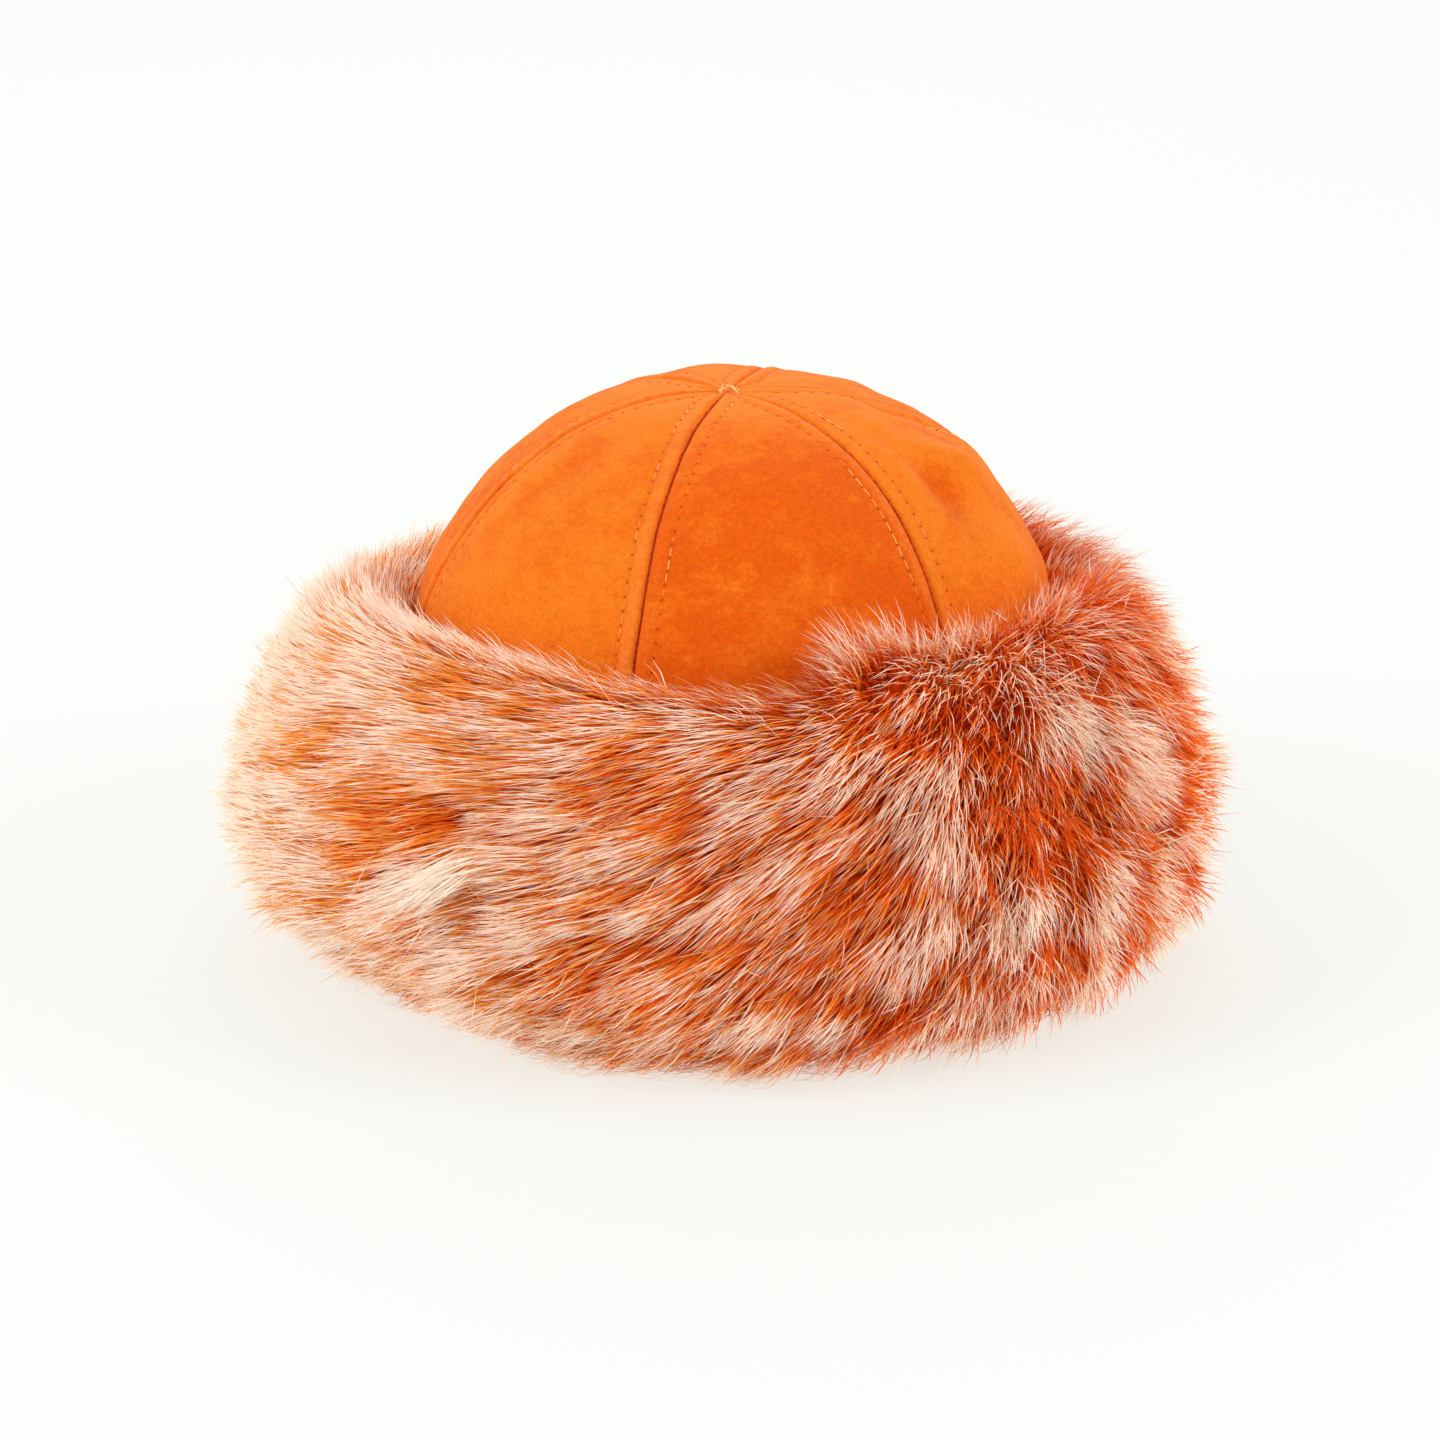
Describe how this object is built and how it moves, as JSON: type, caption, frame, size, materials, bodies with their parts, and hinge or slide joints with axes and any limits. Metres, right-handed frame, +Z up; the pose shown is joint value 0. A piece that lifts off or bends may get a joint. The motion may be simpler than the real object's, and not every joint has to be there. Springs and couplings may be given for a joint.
{
  "type": "fur toque",
  "caption": "Round suede crown of wedge-shaped gores inside a wide turned-up cuff of frosted fur, open below for the head.",
  "frame": {"origin": "centre of the cuff's foot, on the surface that the hat rests on", "axes": "+Z up through the apex of the crown, -Y towards the front that the picture shows, +X to the right of that view"},
  "size_m": [0.316, 0.312, 0.1726],
  "materials": {
    "orange_suede": "napped suede",
    "frosted_fur": "long fur, orange at the root and pale at the tip",
    "thread": "twisted sewing thread"
  },
  "bodies": {
    "root": {"crown_panel_1": "orange_suede", "crown_panel_2": "orange_suede", "crown_panel_3": "orange_suede", "crown_panel_4": "orange_suede", "crown_panel_5": "orange_suede", "crown_panel_6": "orange_suede", "fur_cuff": "frosted_fur"}
  },
  "joints": []
}
